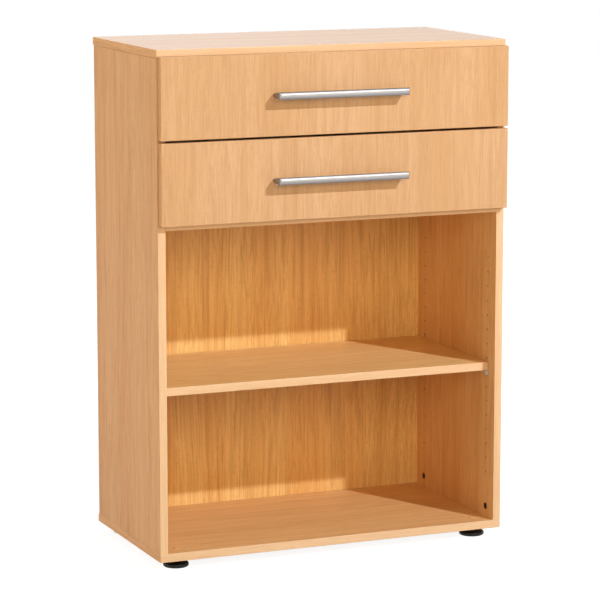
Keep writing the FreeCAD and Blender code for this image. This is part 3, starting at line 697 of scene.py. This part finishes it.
# Darker tones for the edging's sideways faces: painted shade.
front_painted_shade_end_tones = {"Pale": (0.638, 0.327, 0.108, 1), "Warm": (0.591, 0.279, 0.08, 1),
                   "Line": (0.479, 0.207, 0.056, 1)}
front_edging = beech_edging("beech_front_edging", [X_AXIS, Z_AXIS], front_edging_tones, front_painted_shade_end_tones)
for level, shift in (("lower", (0.0, 0.0, 0.0)), ("upper", (0.37, 0.0, 0.0))):
    front = level + "_drawer_front"
    dress(front, beech_board("beech_" + level + "_front", Z_AXIS, Y_AXIS, shift, front_tones))
    dress(front + "_edging", front_edging)

# Handles
# One bar of satin steel, rounded at the nose, on two posts that grow thinner towards the front.
# It is finely brushed along its length and held by a screw through the front in each post.
satin_tones = ((0.33, 0.32, 0.325, 1), (0.28, 0.27, 0.275, 1))
brushing_stretch = 0.004
handle_foot = 0.003
handle_post = 0.010
handle_bar = 0.012
handle_nose = 0.005
handle_inner_round = 0.006
handle_inner_steps = 8
handle_end_round = 0.006
handle_end_steps = 5
handle_arris = 0.0004
handle_arris_steps = 2
handle_sharp_angle = 30.0
nose_strips = 14
nose_snap = 0.0000001
satin_steel = metal("satin_steel", satin_tones, smooth=0.44, rough=0.52, scratch_scale=2600.0,
                    axes=[X_AXIS], stretch=brushing_stretch)
for level in levels:
    low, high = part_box(level + "_drawer_handle")
    middle = (low.z + high.z) / 2
    half_height = (high.z - low.z) / 2
    nose_radius = (half_height ** 2 + handle_nose ** 2) / (2 * handle_nose)
    nose_centre = low.y + nose_radius
    nose_rear = low.y + handle_nose
    bar_rear = low.y + handle_bar
    post_x = high.x - handle_post
    shape = bmesh.new()
    plan = [shape.verts.new((x, y, middle)) for x, y in (
        (low.x, high.y), (low.x, low.y), (high.x, low.y), (high.x, high.y),
        (post_x, high.y), (post_x, bar_rear), (-post_x, bar_rear), (-post_x, high.y))]
    shape.faces.new(plan)
    bmesh.ops.bevel(shape, geom=plan[5:7], offset=handle_inner_round, offset_type="OFFSET",
                    segments=handle_inner_steps, profile=0.5, affect="VERTICES", material=-1)
    ends = [vert for vert in shape.verts if vert.co.y == low.y]
    bmesh.ops.bevel(shape, geom=ends, offset=handle_end_round, offset_type="OFFSET",
                    segments=handle_end_steps, profile=0.5, affect="VERTICES", material=-1)
    widest = math.acos((nose_radius - handle_nose) / nose_radius)
    for strip in range(1, nose_strips + 1):
        cut = nose_centre - nose_radius * math.cos(widest * strip / nose_strips)
        bmesh.ops.bisect_plane(shape, geom=shape.verts[:] + shape.edges[:] + shape.faces[:],
                               plane_co=(0, cut, 0), plane_no=Y_AXIS, dist=nose_snap)
    lower_verts = shape.verts[:]
    raised = bmesh.ops.extrude_face_region(shape, geom=shape.faces[:])["geom"]
    upper_verts = [item for item in raised if isinstance(item, bmesh.types.BMVert)]
    for verts, sign in ((lower_verts, -1), (upper_verts, 1)):
        for vert in verts:
            if vert.co.y < nose_rear:
                half = math.sqrt(max(0.0, nose_radius ** 2 - (nose_centre - vert.co.y) ** 2))
            else:
                share = (vert.co.y - nose_rear) / (high.y - nose_rear)
                half = half_height + share * (handle_foot - half_height)
            vert.co.z = middle + sign * half
    handle = finished(level + "_handle_bar", shape, satin_steel, handle_sharp_angle)
    arris = handle.modifiers.new("arris", "BEVEL")
    arris.width = handle_arris
    arris.segments = handle_arris_steps
    arris.limit_method = "ANGLE"
    arris.angle_limit = math.radians(handle_sharp_angle)
    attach(handle, level + "_drawer")
    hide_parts(level + "_drawer_handle")

# Screws of the drawers
# Two machine screws with pan heads hold each handle from behind the front.
# Three smaller screws hold each rail to the underside of its drawer side.
handle_screw_head_radius = 0.0040
handle_screw_head = 0.0024
handle_screw_shank = 0.0020
handle_screw_grip = 0.009
rail_screw_head_radius = 0.0032
rail_screw_head = 0.0010
rail_screw_shank = 0.0017
rail_screw_length = 0.011
rail_screw_shares = (0.15, 0.5, 0.85)
rail_screw = pan_screw(rail_screw_head_radius, rail_screw_head, rail_screw_head / 2, rail_screw_shank,
                       rail_screw_length)
for level in levels:
    drawer = level + "_drawer_"
    front_low, front_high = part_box(drawer + "front")
    grip_low, grip_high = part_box(drawer + "handle")
    handle_screw = pan_screw(handle_screw_head_radius, handle_screw_head, handle_screw_head / 2,
                             handle_screw_shank, front_high.y - front_low.y + handle_screw_grip)
    grip_middle = (grip_low.z + grip_high.z) / 2
    shape = bmesh.new()
    for side, sign in (("left", -1), ("right", 1)):
        seat = Vector((sign * (grip_high.x - handle_post / 2), front_high.y, grip_middle))
        set_screws(shape, handle_screw, [seat], Y_AXIS)
        board_low, board_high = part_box(drawer + side + "_side")
        rail_low, rail_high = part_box(drawer + side + "_rail")
        board_middle = (board_low.x + board_high.x) / 2
        rail_length = rail_high.y - rail_low.y
        seats = [Vector((board_middle, rail_low.y + share * rail_length, board_low.z - runner_sheet))
                 for share in rail_screw_shares]
        set_screws(shape, rail_screw, seats, -Z_AXIS)
    screws = finished(level + "_drawer_fixing_screws", shape, plated_steel)
    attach(screws, level + "_drawer")
    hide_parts(drawer + "screws")

# Floor and background
# A wide pale floor that the camera sees as white, apart from the unit's soft shadow.
floor_half = 30.0
floor_drop = 0.0002
floor_glow = 0.90
floor_far_glow = 1.0
floor_glow_reach = (1.2, 3.5)
floor_tone = (0.58, 0.53, 0.46, 1)
floor_seen_tone = (0.25, 0.25, 0.25, 1)
white = (1, 1, 1, 1)
floor_mesh = bmesh.new()
bmesh.ops.create_grid(floor_mesh, x_segments=1, y_segments=1, size=floor_half,
                      matrix=Matrix.Translation((0, 0, -floor_drop)))
floor_data = bpy.data.meshes.new("floor")
floor_mesh.to_mesh(floor_data)
floor_mesh.free()
floor = bpy.data.objects.new("floor", floor_data)
scene.collection.objects.link(floor)


def seen_rays(tree):
    """1 for the rays that show the background: straight from the camera, or by way of metal or glass."""
    path = add_node(tree, "ShaderNodeLightPath").outputs
    mirrored = calculate(tree, "MAXIMUM", path["Is Camera Ray"], path["Is Glossy Ray"])
    return calculate(tree, "MAXIMUM", mirrored, path["Is Transmission Ray"])


floor_material = bpy.data.materials.new("pale_floor")
floor_material.use_nodes = True
tree = floor_material.node_tree
tree.nodes.clear()
seen = seen_rays(tree)
floor_colour = mix_colours(tree, seen, floor_tone, floor_seen_tone)
floor_own = add_node(tree, "ShaderNodeBsdfDiffuse", {"Color": floor_colour})
floor_place = add_node(tree, "ShaderNodeTexCoord").outputs["Object"]
floor_range = add_node(tree, "ShaderNodeVectorMath", {0: floor_place}, operation="LENGTH").outputs["Value"]
glow = add_node(tree, "ShaderNodeMapRange", {
    "Value": floor_range, "From Min": floor_glow_reach[0], "From Max": floor_glow_reach[1],
    "To Min": floor_glow, "To Max": floor_far_glow}, interpolation_type="SMOOTHSTEP").outputs["Result"]
floor_white = add_node(tree, "ShaderNodeEmission", {
    "Color": white, "Strength": calculate(tree, "MULTIPLY", seen, glow)})
both = add_node(tree, "ShaderNodeAddShader", {0: floor_own.outputs[0], 1: floor_white.outputs[0]})
add_node(tree, "ShaderNodeOutputMaterial", {"Surface": both.outputs[0]})
floor_data.materials.append(floor_material)

# Lamps
# A small hard key from high on the right in front, and large soft lamps that fill from the other sides.
# Azimuth counts from the front towards the right, and each lamp is aimed at the unit's middle.
lamp_aim = Vector((0.0, -0.1, 0.6))
glare_free_lamps = ("key", "top_fill")
highlight_lamp = "metal_shine"
for name, azimuth, elevation, distance, width, height, power, tint in (
        ("key", 28.1, 35.0, 7.53, 0.14, 0.14, 440.0, (0.87, 1.0, 1.20)),
        ("right_front_fill", 28.0, 8.0, 4.0, 1.6, 1.6, 20.0, (1.0, 0.90, 0.72)),
        ("front_fill", -12.0, 18.0, 4.0, 2.4, 1.4, 66.0, (1.0, 0.83, 0.56)),
        ("left_fill", -103.0, 14.0, 4.0, 3.6, 2.6, 83.0, (1.0, 0.89, 0.71)),
        ("right_fill", 112.0, 14.0, 4.0, 3.2, 2.4, 71.0, (1.0, 0.91, 0.79)),
        ("back_fill", 182.0, 42.0, 4.0, 3.0, 2.0, 55.0, (1.0, 0.94, 0.88)),
        ("top_fill", 0.0, 80.0, 4.0, 2.0, 2.0, 20.0, (1.0, 0.96, 0.90)),
        (highlight_lamp, 20.0, 48.0, 5.0, 0.8, 0.8, 205.0, (1.0, 0.98, 0.97))):
    lamp = bpy.data.lights.new(name, "AREA")
    lamp.shape = "RECTANGLE"
    lamp.size = width
    lamp.size_y = height
    lamp.energy = power
    lamp.color = tint
    turn = math.radians(azimuth)
    rise = math.radians(elevation)
    away = Vector((math.cos(rise) * math.sin(turn), -math.cos(rise) * math.cos(turn), math.sin(rise)))
    lamp_object = bpy.data.objects.new(name, lamp)
    lamp_object.location = lamp_aim + distance * away
    lamp_object.rotation_euler = (-away).to_track_quat("-Z", "Y").to_euler()
    lamp_object.visible_camera = False
    lamp_object.visible_glossy = name not in glare_free_lamps
    lamp_object.visible_diffuse = name != highlight_lamp
    scene.collection.objects.link(lamp_object)

# Room
# White walls all round under a dark grey ceiling, which the metal pieces mirror.
wall_top = math.sin(math.radians(42.0))
ceiling_edge = math.sin(math.radians(56.0))
ceiling_grey = (0.10, 0.10, 0.10, 1)
room_fill = 0.05
world = bpy.data.worlds.new("room")
world.use_nodes = True
tree = world.node_tree
tree.nodes.clear()
direction = add_node(tree, "ShaderNodeTexCoord")
upward = add_node(tree, "ShaderNodeSeparateXYZ", {"Vector": direction.outputs["Generated"]}).outputs["Z"]
overhead = add_node(tree, "ShaderNodeMapRange", {"Value": upward, "From Min": wall_top,
                                                 "From Max": ceiling_edge},
                    interpolation_type="SMOOTHSTEP").outputs["Result"]
room_colour = mix_colours(tree, overhead, white, ceiling_grey)
room_glow = mix_values(tree, seen_rays(tree), room_fill, 1.0)
room = add_node(tree, "ShaderNodeBackground", {"Color": room_colour, "Strength": room_glow})
add_node(tree, "ShaderNodeOutputWorld", {"Surface": room.outputs[0]})
scene.world = world
scene.view_settings.view_transform = "Standard"

# Viewpoint
# A long lens off the front left corner, higher than the top panel, looking a little down.
# Its place and length come from fitting the corners of the carcass to the photograph.
camera_place = (-2.3720, -5.5810, 1.5479)
camera_yaw = math.radians(22.958)
camera_pitch = math.radians(-9.533)
focal_length_per_width = 4.6885
camera_data = bpy.data.cameras.new("viewpoint")
camera_data.lens = focal_length_per_width * camera_data.sensor_width
camera = bpy.data.objects.new("viewpoint", camera_data)
camera.location = camera_place
camera.rotation_euler = (math.pi / 2 + camera_pitch, 0, -camera_yaw)
scene.collection.objects.link(camera)
scene.camera = camera
